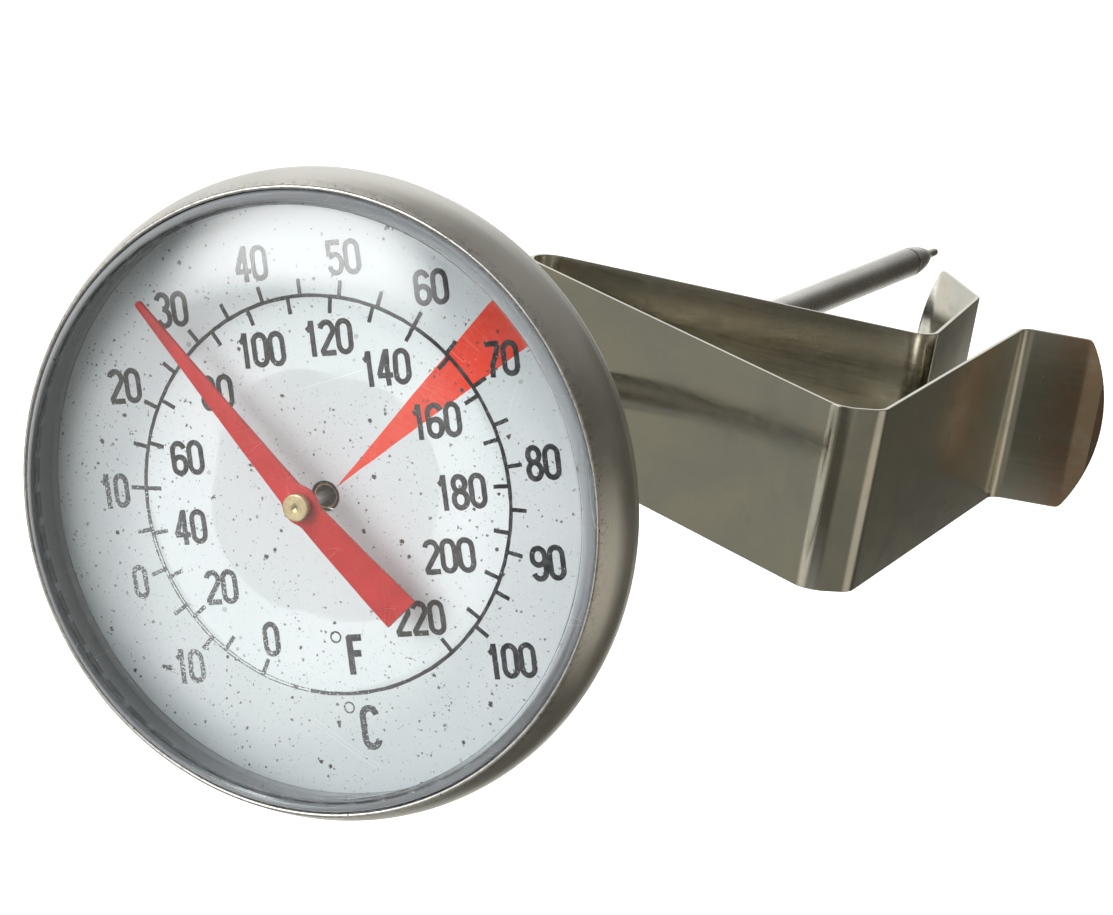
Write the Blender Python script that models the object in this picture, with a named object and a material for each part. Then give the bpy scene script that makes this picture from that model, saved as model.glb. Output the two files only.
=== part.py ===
"""Dial thermometer with a sliding kettle clip.

Stem along Z, dial facing +Z, clip opening towards +X.
World origin: centre of the lens's flat front, on the stem axis.
Heights in the tables below are measured from the printed face of the dial.
"""
import math

import bmesh
import bpy
import numpy as np
from mathutils import Vector

MM = 0.001
GAP = 0.3

# ---- heights and depths, mm -------------------------------------------------
LENS_TOP = 9.4            # lens front above the dial face
STEM_LENGTH = 190.0       # dial face to the tip
TUBE_END = 178.2          # depth where the tube stops and the tip begins
CASE_BACK = 7.5           # depth of the case's outer back face
BACK_DIMPLE = 0.3         # the back is pressed in by this much around the neck
SHEET = 0.6               # case sheet

# ---- radii, mm --------------------------------------------------------------
STEM_R = 2.0
TUBE_BORE_R = 1.6
SPINDLE_R = 0.6
RUNNING = 0.05            # radial clearance of a running fit
DIAL_R = 33.1
DIAL_HOLE_R = 1.65
DIMPLE_R = 8.7            # clears the corners of the nut
FLAT_R = 28.05            # the flat of the back reaches this far
CORNER_R = 6.5            # rounding from the back up to the side
NECK_R = 3.7
NUT_FLATS = 14.0

# ---- clip, mm: depth below the dial face and distance out from the axis ------
STRIP = 0.5
STRIP_WIDTH = 21.5
FRONT_HOLE = 72.1         # depth where the front arm crosses the axis
FRONT_SLOPE = -0.543      # depth gained per mm outwards
BACK_HOLE = 88.7
BACK_SLOPE = 0.2375
FOLD_R = 3.5
LEG_TOP = (56.0, 40.3)
LEG_FOOT = (113.2, 37.3)
SHOULDER_OUT = 36.6
TAB_DIR = (0.39, 0.92)
TAB_LENGTH = 11.75
HOOK_TOP_OUT = 31.5
KNUCKLE = (122.9, 27.9)
FLARE_DIR = (0.76, -0.65)
FLARE_LENGTH = 16.3
TAB_BULGE = 3.2           # how far the rounded end of the tab stands past its corners
FLARE_BULGE = 3.8

# ---- pointer ----------------------------------------------------------------
POINTER_ANGLE = 145.8     # degrees from +X, the reading at rest
POINTER_TIP = 27.9
POINTER_TAIL = 15.4
POINTER_TIP_HALF = 0.4    # half widths at the two ends
POINTER_TAIL_HALF = 2.14
POINTER_HUB_Z = 5.9
POINTER_END_Z = 4.4

# ---- bimetal coil -----------------------------------------------------------
COIL_TOP = 128.3
COIL_BOTTOM = 171.8
COIL_TURNS = 27
COIL_R = 1.12

BIG = 56                  # facets around the case, lens and dial
SMALL = 24                # facets around stem pieces


def clear_scene():
    for obj in list(bpy.data.objects):
        bpy.data.objects.remove(obj, do_unlink=True)
    for block in (bpy.data.meshes, bpy.data.materials, bpy.data.curves):
        for item in list(block):
            block.remove(item)


def z_of(depth):
    """World height of a depth below the dial face."""
    return -(LENS_TOP + depth)


def material(name, colour, rough, metal):
    mat = bpy.data.materials.new(name)
    mat.use_nodes = True
    shader = mat.node_tree.nodes["Principled BSDF"]
    shader.inputs["Base Color"].default_value = (*colour, 1.0)
    shader.inputs["Roughness"].default_value = rough
    shader.inputs["Metallic"].default_value = metal
    return mat


def add_object(name, mesh, mat, smooth_angle=35.0):
    """Put a finished mesh in the part's collection."""
    obj = bpy.data.objects.new(name, mesh)
    PARTS.objects.link(obj)
    mesh.materials.append(mat)
    mesh.shade_smooth()
    mesh.set_sharp_from_angle(angle=math.radians(smooth_angle))
    return obj


def mesh_from(verts, faces, name):
    mesh = bpy.data.meshes.new(name)
    mesh.from_pydata([tuple(v) for v in verts], [], faces)
    bm = bmesh.new()
    bm.from_mesh(mesh)
    bmesh.ops.recalc_face_normals(bm, faces=bm.faces)
    bm.to_mesh(mesh)
    bm.free()
    return mesh


def turned(name, profile, mat, facets=SMALL, smooth_angle=35.0):
    """Body of revolution about Z from a closed outline of (radius, height) in mm."""
    verts = []
    rings = []
    for radius, height in profile:
        z = (height - LENS_TOP) * MM
        if radius < 1e-6:
            verts.append((0.0, 0.0, z))
            rings.append([len(verts) - 1])
            continue
        ring = []
        for i in range(facets):
            a = 2 * math.pi * i / facets
            verts.append((radius * MM * math.cos(a), radius * MM * math.sin(a), z))
            ring.append(len(verts) - 1)
        rings.append(ring)
    faces = []
    for k, low in enumerate(rings):
        high = rings[(k + 1) % len(rings)]
        if len(low) == 1 and len(high) == 1:
            continue
        for i in range(facets):
            j = (i + 1) % facets
            if len(low) == 1:
                faces.append((low[0], high[i], high[j]))
            elif len(high) == 1:
                faces.append((low[i], low[j], high[0]))
            else:
                faces.append((low[i], low[j], high[j], high[i]))
    return add_object(name, mesh_from(verts, faces, name), mat, smooth_angle)


def ring(name, inner, outer, top, bottom, mat, facets=SMALL):
    """Plain tube between two depths below the dial face."""
    outline = [(inner, -top), (outer, -top), (outer, -bottom), (inner, -bottom)]
    return turned(name, outline, mat, facets)


def arc(centre, radius, start, stop, count):
    """Points on an arc, angles in degrees."""
    points = []
    for i in range(count + 1):
        a = math.radians(start + (stop - start) * i / count)
        points.append((centre[0] + radius * math.cos(a), centre[1] + radius * math.sin(a)))
    return points


# ---- case, lens and dial ----------------------------------------------------
def case_outline():
    """Pressed cup with its front edge rolled inwards over the gasket."""
    back = -CASE_BACK
    dimple = back + BACK_DIMPLE
    outer = [(NECK_R + GAP, dimple), (DIMPLE_R - 0.4, dimple), (DIMPLE_R, back)]
    outer += arc((FLAT_R, back + CORNER_R), CORNER_R, -90, -10, 8)
    outer += [(34.72, -0.9), (34.8, 0.3), (34.75, 1.5), (34.5, 2.8)]
    outer += [(34.1, 4.0), (33.76, 4.8), (33.48, 5.35), (33.25, 5.6), (33.08, 5.45)]
    inner = [(33.08, 4.85), (33.35, 4.72), (33.52, 4.4), (33.72, 3.6), (33.92, 2.4)]
    inner += [(34.13, 1.2), (34.18, 0.2), (34.1, -0.9)]
    inner += arc((FLAT_R, back + CORNER_R), CORNER_R - SHEET, -10, -90, 8)
    inner += [(DIMPLE_R, back + SHEET), (DIMPLE_R - 0.4, dimple + SHEET), (NECK_R + GAP, dimple + SHEET)]
    return outer + inner


def lens_outline():
    """Clear window with a flat middle, a rolled shoulder, a skirt and a flange."""
    drop_r = 27.5
    outer = [(0.0, LENS_TOP)]
    outer += arc((20.0, LENS_TOP - drop_r), drop_r, 90, 63.4, 7)
    outer += [(32.42, 6.25), (32.62, 5.95), (32.7, 5.5), (32.7, 2.6), (33.6, 2.6), (33.6, GAP)]
    inner = [(31.7, GAP), (31.7, 4.0), (31.35, 4.75)]
    inner += arc((20.0, LENS_TOP - drop_r), drop_r - 1.8, 64.5, 90, 6)
    inner += [(0.0, LENS_TOP - 1.8)]
    return outer + inner


def build_head():
    turned("case_cup", case_outline(), STEEL, BIG)
    turned("lens", lens_outline(), CLEAR, BIG)
    ring("lens_gasket", 33.0, 33.42, -4.4, -2.9, RUBBER, BIG)
    ring("dial_plate", DIAL_HOLE_R, DIAL_R, 0.0, 0.5, WHITE, BIG)
    ring("dial_support_ring", 29.4, 30.2, 0.8, 5.9, STEEL, BIG)
    # the neck is riveted through the back: flange inside, short sleeve outside
    bore = STEM_R + RUNNING
    neck = [(bore, -5.1), (7.0, -5.1), (7.0, -6.3), (NECK_R, -6.3)]
    neck += [(NECK_R, -9.0), (bore, -9.0)]
    turned("case_neck", neck, BRASS, 32)
    ring("nut_washer", NECK_R + GAP, 7.0, CASE_BACK - BACK_DIMPLE + GAP, 9.0, FIBRE, 32)


# ---- stem and what is fixed to it -------------------------------------------
def build_stem():
    ring("stem_tube", TUBE_BORE_R, STEM_R, 1.6, TUBE_END, STEEL)
    tip = [(0.0, -(TUBE_END - 4.3)), (TUBE_BORE_R - GAP, -(TUBE_END - 4.3))]
    tip += [(TUBE_BORE_R - GAP, -(TUBE_END + GAP)), (STEM_R, -(TUBE_END + GAP))]
    tip += [(1.92, -180.4), (1.65, -182.6), (1.2, -184.7), (0.78, -186.2), (0.62, -187.2)]
    tip += [(0.55, -189.2), (0.38, -189.8), (0.0, -STEM_LENGTH)]
    turned("stem_tip", tip, STEEL)
    ring("stem_collar", STEM_R + GAP, 5.6, 2.6, 3.9, BRASS, 32)
    ring("friction_washer", STEM_R + GAP, 6.0, 4.2, 4.8, STEEL, 32)
    build_nut()
    clear_r = SPINDLE_R + RUNNING
    bush = [(1.2, -0.2), (1.32, -0.2), (1.32, -1.3), (TUBE_BORE_R - GAP, -1.3)]
    bush += [(TUBE_BORE_R - GAP, -5.0), (clear_r, -5.0), (clear_r, -1.4)]
    turned("upper_guide_bush", bush, BRASS)
    ring("middle_guide_bush", clear_r, TUBE_BORE_R - GAP, 60.0, 63.0, BRASS)
    ring("lower_guide_bush", clear_r, TUBE_BORE_R - GAP, 119.0, 122.0, BRASS)
    ring("coil_anchor", 0.5, TUBE_BORE_R - GAP, 172.1, 173.6, BRASS)


def build_nut():
    """Hexagon fixed to the stem, used to turn the pointer against the dial."""
    corner = NUT_FLATS / 2 / math.cos(math.radians(30))
    heights = (-9.3, -9.8, -15.3, -15.8)
    bore = STEM_R + GAP
    verts = []
    facets = 24
    for level, height in enumerate(heights):
        for i in range(facets):
            a = 2 * math.pi * i / facets
            wedge = (a + math.pi / 6) % (math.pi / 3) - math.pi / 6
            flat = NUT_FLATS / 2 / math.cos(wedge)
            trim = 0.93 * corner if level in (0, 3) else corner
            radius = min(flat, trim)
            z = (height - LENS_TOP) * MM
            verts.append((radius * MM * math.cos(a), radius * MM * math.sin(a), z))
    for height in (heights[0], heights[-1]):
        for i in range(facets):
            a = 2 * math.pi * i / facets
            z = (height - LENS_TOP) * MM
            verts.append((bore * MM * math.cos(a), bore * MM * math.sin(a), z))
    faces = []
    loops = [4, 0, 1, 2, 3, 5]
    for low, high in zip(loops, loops[1:] + loops[:1]):
        for i in range(facets):
            j = (i + 1) % facets
            quad = (low * facets + i, low * facets + j, high * facets + j, high * facets + i)
            faces.append(quad)
    add_object("hex_nut", mesh_from(verts, faces, "hex_nut"), STEEL, 20)


# ---- what turns with the pointer --------------------------------------------
def pointer_half_width(t):
    """Half width along the pointer: t is the distance from the axis towards the tip."""
    widening = (POINTER_TAIL_HALF - POINTER_TIP_HALF) / (POINTER_TIP + POINTER_TAIL)
    bar = POINTER_TIP_HALF + (POINTER_TIP - t) * widening
    if abs(t) < 2.05:
        bar = max(bar, math.sqrt(2.05 ** 2 - t ** 2))
    return bar


def pointer_height(t):
    """The middle is raised and both ends bow down towards the dial."""
    span = POINTER_TIP if t > 0 else POINTER_TAIL
    x = min(abs(t) / span, 1.0)
    return POINTER_HUB_Z - (POINTER_HUB_Z - POINTER_END_Z) * x ** 1.3


def build_pointer():
    """Tapered strip with a round boss and a hole for the spindle."""
    thick = 0.4
    hole = SPINDLE_R + GAP
    stations = [-POINTER_TAIL, -12.0, -9.0, -6.0, -4.0, -2.6, -2.0, -1.6, -1.2]
    stations += [1.2, 1.6, 2.0, 2.6, 4.0, 7.0, 11.0, 15.0, 19.0, 23.0, 26.5, 27.4, POINTER_TIP]
    verts = []
    rows = []
    for t in stations:
        half = pointer_half_width(t)
        if t > 27.0:
            half *= 0.85 if t < 27.6 else 0.5
        mid = pointer_height(t)
        row = []
        for side, up in ((-1, 0), (1, 0), (1, 1), (-1, 1)):
            verts.append((t, side * half, mid + (up - 1) * thick))
            row.append(len(verts) - 1)
        rows.append(row)
    faces = [tuple(rows[0]), tuple(reversed(rows[-1]))]
    split = 8
    for k in range(len(rows) - 1):
        if k == split:
            continue
        low, high = rows[k], rows[k + 1]
        for i in range(4):
            j = (i + 1) % 4
            faces.append((low[i], high[i], high[j], low[j]))
    # the stretch around the hole: two walls outside, a round wall inside
    low, high = rows[split], rows[split + 1]
    top = pointer_height(1.2)
    steps = 8
    sides = []
    for side, inner_edge, outer_edge in ((-1, (low[0], low[3]), (high[0], high[3])),
                                         (1, (low[1], low[2]), (high[1], high[2]))):
        hole_low, hole_high, rim_low, rim_high = [], [], [], []
        for i in range(steps + 1):
            a = math.pi - math.pi * i / steps
            x = math.cos(a)
            y = side * math.sin(a)
            for store, z in ((hole_low, top - thick), (hole_high, top)):
                verts.append((hole * x, hole * y, z))
                store.append(len(verts) - 1)
            if i in (0, steps):
                edge = inner_edge if i == 0 else outer_edge
                rim_low.append(edge[0])
                rim_high.append(edge[1])
                continue
            t = -1.2 + 2.4 * i / steps
            half = pointer_half_width(t)
            for store, z in ((rim_low, top - thick), (rim_high, top)):
                verts.append((t, side * half, z))
                store.append(len(verts) - 1)
        for i in range(steps):
            faces.append((rim_low[i], rim_low[i + 1], rim_high[i + 1], rim_high[i]))
            faces.append((hole_low[i], hole_low[i + 1], hole_high[i + 1], hole_high[i]))
            faces.append((rim_high[i], rim_high[i + 1], hole_high[i + 1], hole_high[i]))
            faces.append((rim_low[i], rim_low[i + 1], hole_low[i + 1], hole_low[i]))
        sides.append((hole_low, hole_high))
    for end, row in ((0, low), (-1, high)):
        a_low, a_high = sides[0][0][end], sides[0][1][end]
        b_low, b_high = sides[1][0][end], sides[1][1][end]
        faces.append((row[3], row[2], b_high, a_high))
        faces.append((row[0], row[1], b_low, a_low))
    turn = math.radians(POINTER_ANGLE)
    out = []
    for t, across, height in verts:
        x = t * math.cos(turn) - across * math.sin(turn)
        y = t * math.sin(turn) + across * math.cos(turn)
        out.append((x * MM, y * MM, (height - LENS_TOP) * MM))
    mesh = mesh_from(out, faces, "pointer")
    bm = bmesh.new()
    bm.from_mesh(mesh)
    bmesh.ops.remove_doubles(bm, verts=bm.verts, dist=1e-7)
    bmesh.ops.recalc_face_normals(bm, faces=bm.faces)
    bm.to_mesh(mesh)
    bm.free()
    add_object("pointer", mesh, RED, 30)


def build_movement():
    build_pointer()
    cap_top = 7.1
    base = POINTER_HUB_Z + GAP
    cap = [(0.0, cap_top), (1.36, cap_top), (1.46, cap_top - 0.1), (1.46, base)]
    cap += [(SPINDLE_R + GAP, base), (SPINDLE_R + GAP, cap_top - 0.5), (0.0, cap_top - 0.5)]
    turned("pointer_cap", cap, BRASS)
    low = -127.7
    spindle = [(0.0, cap_top - 0.8), (SPINDLE_R, cap_top - 0.8), (SPINDLE_R, low), (0.0, low)]
    turned("spindle", spindle, STEEL, 16)
    ring("coil_collar", SPINDLE_R + GAP, 1.3, 125.4, 128.0, BRASS)
    build_coil()


def build_coil():
    """Flat bimetal ribbon wound as a helix; it twists as it warms."""
    per_turn = 10
    steps = COIL_TURNS * per_turn
    thick, wide = 0.22, 0.8
    verts, faces = [], []
    span = COIL_BOTTOM - COIL_TOP - wide
    for i in range(steps + 1):
        a = 2 * math.pi * i / per_turn
        z = -(COIL_TOP + wide / 2 + span * i / steps) - LENS_TOP
        for dr, dz in ((-1, -1), (1, -1), (1, 1), (-1, 1)):
            r = COIL_R + dr * thick / 2
            verts.append((r * MM * math.cos(a), r * MM * math.sin(a), (z + dz * wide / 2) * MM))
    for i in range(steps):
        for k in range(4):
            j = (k + 1) % 4
            faces.append((4 * i + k, 4 * i + j, 4 * i + 4 + j, 4 * i + 4 + k))
    faces.append((0, 1, 2, 3))
    faces.append((4 * steps + 3, 4 * steps + 2, 4 * steps + 1, 4 * steps))
    add_object("bimetal_coil", mesh_from(verts, faces, "bimetal_coil"), BIMETAL, 30)


# ---- clip -------------------------------------------------------------------
def filleted(points, radii, steps=5):
    """Centre line through the given corners, each rounded by an arc."""
    path = [np.array(points[0], float)]
    for k in range(1, len(points) - 1):
        before, corner, after = (np.array(points[k + d], float) for d in (-1, 0, 1))
        u = (before - corner) / np.linalg.norm(before - corner)
        w = (after - corner) / np.linalg.norm(after - corner)
        half = 0.5 * math.acos(float(np.clip(u @ w, -1, 1)))
        reach = radii[k - 1] / math.tan(half)
        bisector = (u + w) / np.linalg.norm(u + w)
        centre = corner + bisector * radii[k - 1] / math.sin(half)
        start = corner + u * reach - centre
        stop = corner + w * reach - centre
        turn = math.atan2(start[0] * stop[1] - start[1] * stop[0], float(start @ stop))
        for i in range(steps + 1):
            a = turn * i / steps
            x = start[0] * math.cos(a) - start[1] * math.sin(a)
            y = start[0] * math.sin(a) + start[1] * math.cos(a)
            path.append(centre + np.array((x, y)))
    path.append(np.array(points[-1], float))
    return path


def rounded_end(path, bulge):
    """Stations along the last straight with the half width falling to a rounded end."""
    half = STRIP_WIDTH / 2
    last = path[-1]
    back = (path[-2] - last) / np.linalg.norm(path[-2] - last)
    radius = (half ** 2 + bulge ** 2) / (2 * bulge)
    stations = [(p, half) for p in path[:-1]]
    stations.append((last + back * bulge * 1.28, half))
    stations.append((last + back * bulge * 1.06, half - 0.25))
    for share in (0.88, 0.68, 0.48, 0.3, 0.15, 0.06, 0.0):
        reach = bulge * share
        width = math.sqrt(max(radius ** 2 - (radius - reach) ** 2, 0.0))
        stations.append((last + back * reach, max(min(width, half - 0.5), 1.2)))
    return stations


def strip_mesh(name, stations):
    """Flat strip of even thickness along stations of (depth, out) and half width."""
    verts, faces = [], []
    count = len(stations)
    for k, (point, half) in enumerate(stations):
        ahead = stations[min(k + 1, count - 1)][0]
        behind = stations[max(k - 1, 0)][0]
        along = (ahead - behind) / np.linalg.norm(ahead - behind)
        normal = np.array((-along[1], along[0]))
        for side, face in ((-1, -1), (1, -1), (1, 1), (-1, 1)):
            depth, out = point + normal * face * STRIP / 2
            verts.append((out * MM, side * half * MM, z_of(depth) * MM))
    for k in range(count - 1):
        for i in range(4):
            j = (i + 1) % 4
            faces.append((4 * k + i, 4 * k + 4 + i, 4 * k + 4 + j, 4 * k + j))
    faces.append((0, 1, 2, 3))
    faces.append((4 * count - 1, 4 * count - 2, 4 * count - 3, 4 * count - 4))
    return mesh_from(verts, faces, name)


def slot_cutter(name, depth, slope, length, width):
    """Oblong through-cutter square to an arm, centred on the stem axis."""
    facets = 10
    straight = (length - width) / 2
    ring_pts = []
    for side in (1, -1):
        for i in range(facets + 1):
            a = math.radians(-90 + 180 * i / facets)
            ring_pts.append((side * (straight + width / 2 * math.cos(a)), side * width / 2 * math.sin(a)))
    along = Vector((1.0, 0.0, -slope)).normalized()
    across = Vector((0.0, 1.0, 0.0))
    normal = along.cross(across)
    centre = Vector((0.0, 0.0, z_of(depth)))
    verts = []
    for lift in (-2.0, 2.0):
        for a, b in ring_pts:
            verts.append((centre + along * a + across * b + normal * lift) * MM)
    n = len(ring_pts)
    faces = [tuple(range(n)), tuple(range(2 * n - 1, n - 1, -1))]
    for i in range(n):
        j = (i + 1) % n
        faces.append((i, n + i, n + j, j))
    obj = bpy.data.objects.new(name, mesh_from(verts, faces, name))
    CUTTERS.objects.link(obj)
    obj.hide_render = True
    obj.display_type = "WIRE"
    return obj


def cut(obj, cutter):
    mod = obj.modifiers.new("stem_hole", "BOOLEAN")
    mod.operation = "DIFFERENCE"
    mod.solver = "EXACT"
    mod.object = cutter


def build_clip():
    apex_out = (FRONT_HOLE - BACK_HOLE) / (BACK_SLOPE - FRONT_SLOPE)
    apex = (FRONT_HOLE + FRONT_SLOPE * apex_out, apex_out)
    shoulder = (FRONT_HOLE + FRONT_SLOPE * SHOULDER_OUT, SHOULDER_OUT)
    tab = tuple(LEG_FOOT[i] + TAB_DIR[i] * TAB_LENGTH for i in (0, 1))
    hook_top = (BACK_HOLE + BACK_SLOPE * HOOK_TOP_OUT, HOOK_TOP_OUT)
    flare = tuple(KNUCKLE[i] + FLARE_DIR[i] * FLARE_LENGTH for i in (0, 1))
    corners = [tab, LEG_FOOT, LEG_TOP, shoulder, apex, hook_top, KNUCKLE, flare]
    path = filleted(corners, [2.2, 3.0, 2.8, FOLD_R, 3.0, 1.8], 6)
    # the fold is the arc round the apex: split it at its outermost point
    outs = [p[1] for p in path]
    middle = int(np.argmin(outs))
    fold = path[middle]
    along = path[middle + 1] - path[middle - 1]
    along = along / np.linalg.norm(along) * GAP / 2
    front = [fold - along] + list(reversed(path[:middle]))
    back = [fold + along] + path[middle + 1:]
    front_obj = add_object("clip_front_arm", strip_mesh("clip_front_arm", rounded_end(front, TAB_BULGE)), SPRING)
    back_mesh = strip_mesh("clip_back_arm", rounded_end(back, FLARE_BULGE))
    pivot = Vector((fold[1] * MM, 0.0, z_of(fold[0]) * MM))
    for vert in back_mesh.vertices:
        vert.co -= pivot
    back_obj = add_object("clip_back_arm", back_mesh, SPRING)
    back_obj.location = pivot
    cut(front_obj, slot_cutter("front_hole", FRONT_HOLE, FRONT_SLOPE, 5.6, 4.7))
    cut(back_obj, slot_cutter("back_hole", BACK_HOLE, BACK_SLOPE, 7.2, 4.7))


def make_collection(name):
    coll = bpy.data.collections.new(name)
    bpy.context.scene.collection.children.link(coll)
    return coll


clear_scene()
PARTS = make_collection("dial_thermometer")
CUTTERS = make_collection("cutters")

STEEL = material("stainless", (0.56, 0.55, 0.53), 0.32, 1.0)
SPRING = material("spring_steel", (0.46, 0.46, 0.44), 0.18, 1.0)
BRASS = material("brass", (0.60, 0.47, 0.22), 0.3, 1.0)
BIMETAL = material("bimetal", (0.42, 0.36, 0.28), 0.4, 1.0)
CLEAR = material("clear_plastic", (0.92, 0.95, 0.96), 0.05, 0.0)
WHITE = material("dial_white", (0.72, 0.77, 0.80), 0.4, 0.0)
RED = material("pointer_red", (0.62, 0.05, 0.04), 0.35, 0.0)
RUBBER = material("rubber", (0.05, 0.05, 0.05), 0.7, 0.0)
FIBRE = material("fibre_washer", (0.22, 0.10, 0.06), 0.8, 0.0)

build_head()
build_stem()
build_movement()
build_clip()
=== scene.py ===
"""Dial thermometer with a sliding clip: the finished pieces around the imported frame.

Stem along Z, dial facing +Z, clip opening towards +X.
Heights of turned pieces are in mm above the printed face of the dial, as in the CAD.
"""
import math

import bmesh
import bpy
import numpy as np
from mathutils import Matrix, Vector, geometry


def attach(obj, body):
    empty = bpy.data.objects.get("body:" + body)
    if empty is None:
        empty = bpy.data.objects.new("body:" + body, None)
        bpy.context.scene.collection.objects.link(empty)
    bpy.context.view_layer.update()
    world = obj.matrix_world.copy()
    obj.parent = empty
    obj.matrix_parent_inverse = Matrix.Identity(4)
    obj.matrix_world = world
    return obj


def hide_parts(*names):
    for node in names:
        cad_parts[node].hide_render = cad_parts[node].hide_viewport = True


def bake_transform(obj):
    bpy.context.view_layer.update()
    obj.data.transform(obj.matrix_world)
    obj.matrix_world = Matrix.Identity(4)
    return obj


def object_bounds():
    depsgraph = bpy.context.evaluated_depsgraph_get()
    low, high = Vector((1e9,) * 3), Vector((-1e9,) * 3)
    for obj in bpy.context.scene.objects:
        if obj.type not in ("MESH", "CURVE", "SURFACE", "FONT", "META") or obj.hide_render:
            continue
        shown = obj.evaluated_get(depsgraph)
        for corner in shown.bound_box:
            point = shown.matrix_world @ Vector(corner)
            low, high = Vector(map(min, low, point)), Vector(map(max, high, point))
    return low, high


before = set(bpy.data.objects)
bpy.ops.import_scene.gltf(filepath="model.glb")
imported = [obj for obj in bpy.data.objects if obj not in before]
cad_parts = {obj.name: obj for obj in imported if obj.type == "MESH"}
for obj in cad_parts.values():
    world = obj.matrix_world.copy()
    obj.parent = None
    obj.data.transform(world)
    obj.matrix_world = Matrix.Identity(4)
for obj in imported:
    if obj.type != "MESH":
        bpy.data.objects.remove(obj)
CAD_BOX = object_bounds()

MM = 0.001
FACE = 9.4                # lens front above the dial face, mm
DIAL_UP = 108.9           # direction of twelve o'clock, degrees from +X
BACK = -7.5               # back of the case, mm above the dial face
FLAT_R, CORNER_R = 28.05, 6.5     # where the case's flat back ends, and its corner's radius
CASE_WALL = 0.6
WINDOW_DROP = 27.5        # radius of the window's rolled shoulder
WINDOW_WALL = 1.8
DIAL_R, DIAL_THICK = 33.1, 0.5
INK_LOW, INK_HIGH = -0.02, 0.026  # the print sinks a little into the dial
rng = np.random.default_rng(7)


# ---- camera -----------------------------------------------------------------
def make_camera():
    data = bpy.data.cameras.new("camera")
    data.sensor_fit = "HORIZONTAL"
    data.sensor_width = 36.0
    data.lens = 168.72
    data.clip_start = 0.01
    data.clip_end = 20.0
    cam = bpy.data.objects.new("camera", data)
    bpy.context.scene.collection.objects.link(cam)
    right = Vector((0.898800, 0.175642, -0.401633))
    up = Vector((-0.261754, 0.949987, -0.170322))
    back = Vector((0.351630, 0.258215, 0.899823))
    turn = Matrix((right, up, back)).transposed()
    cam.matrix_world = Matrix.Translation((0.213360, 0.149526, 0.473600)) @ turn.to_4x4()
    bpy.context.scene.camera = cam


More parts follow.
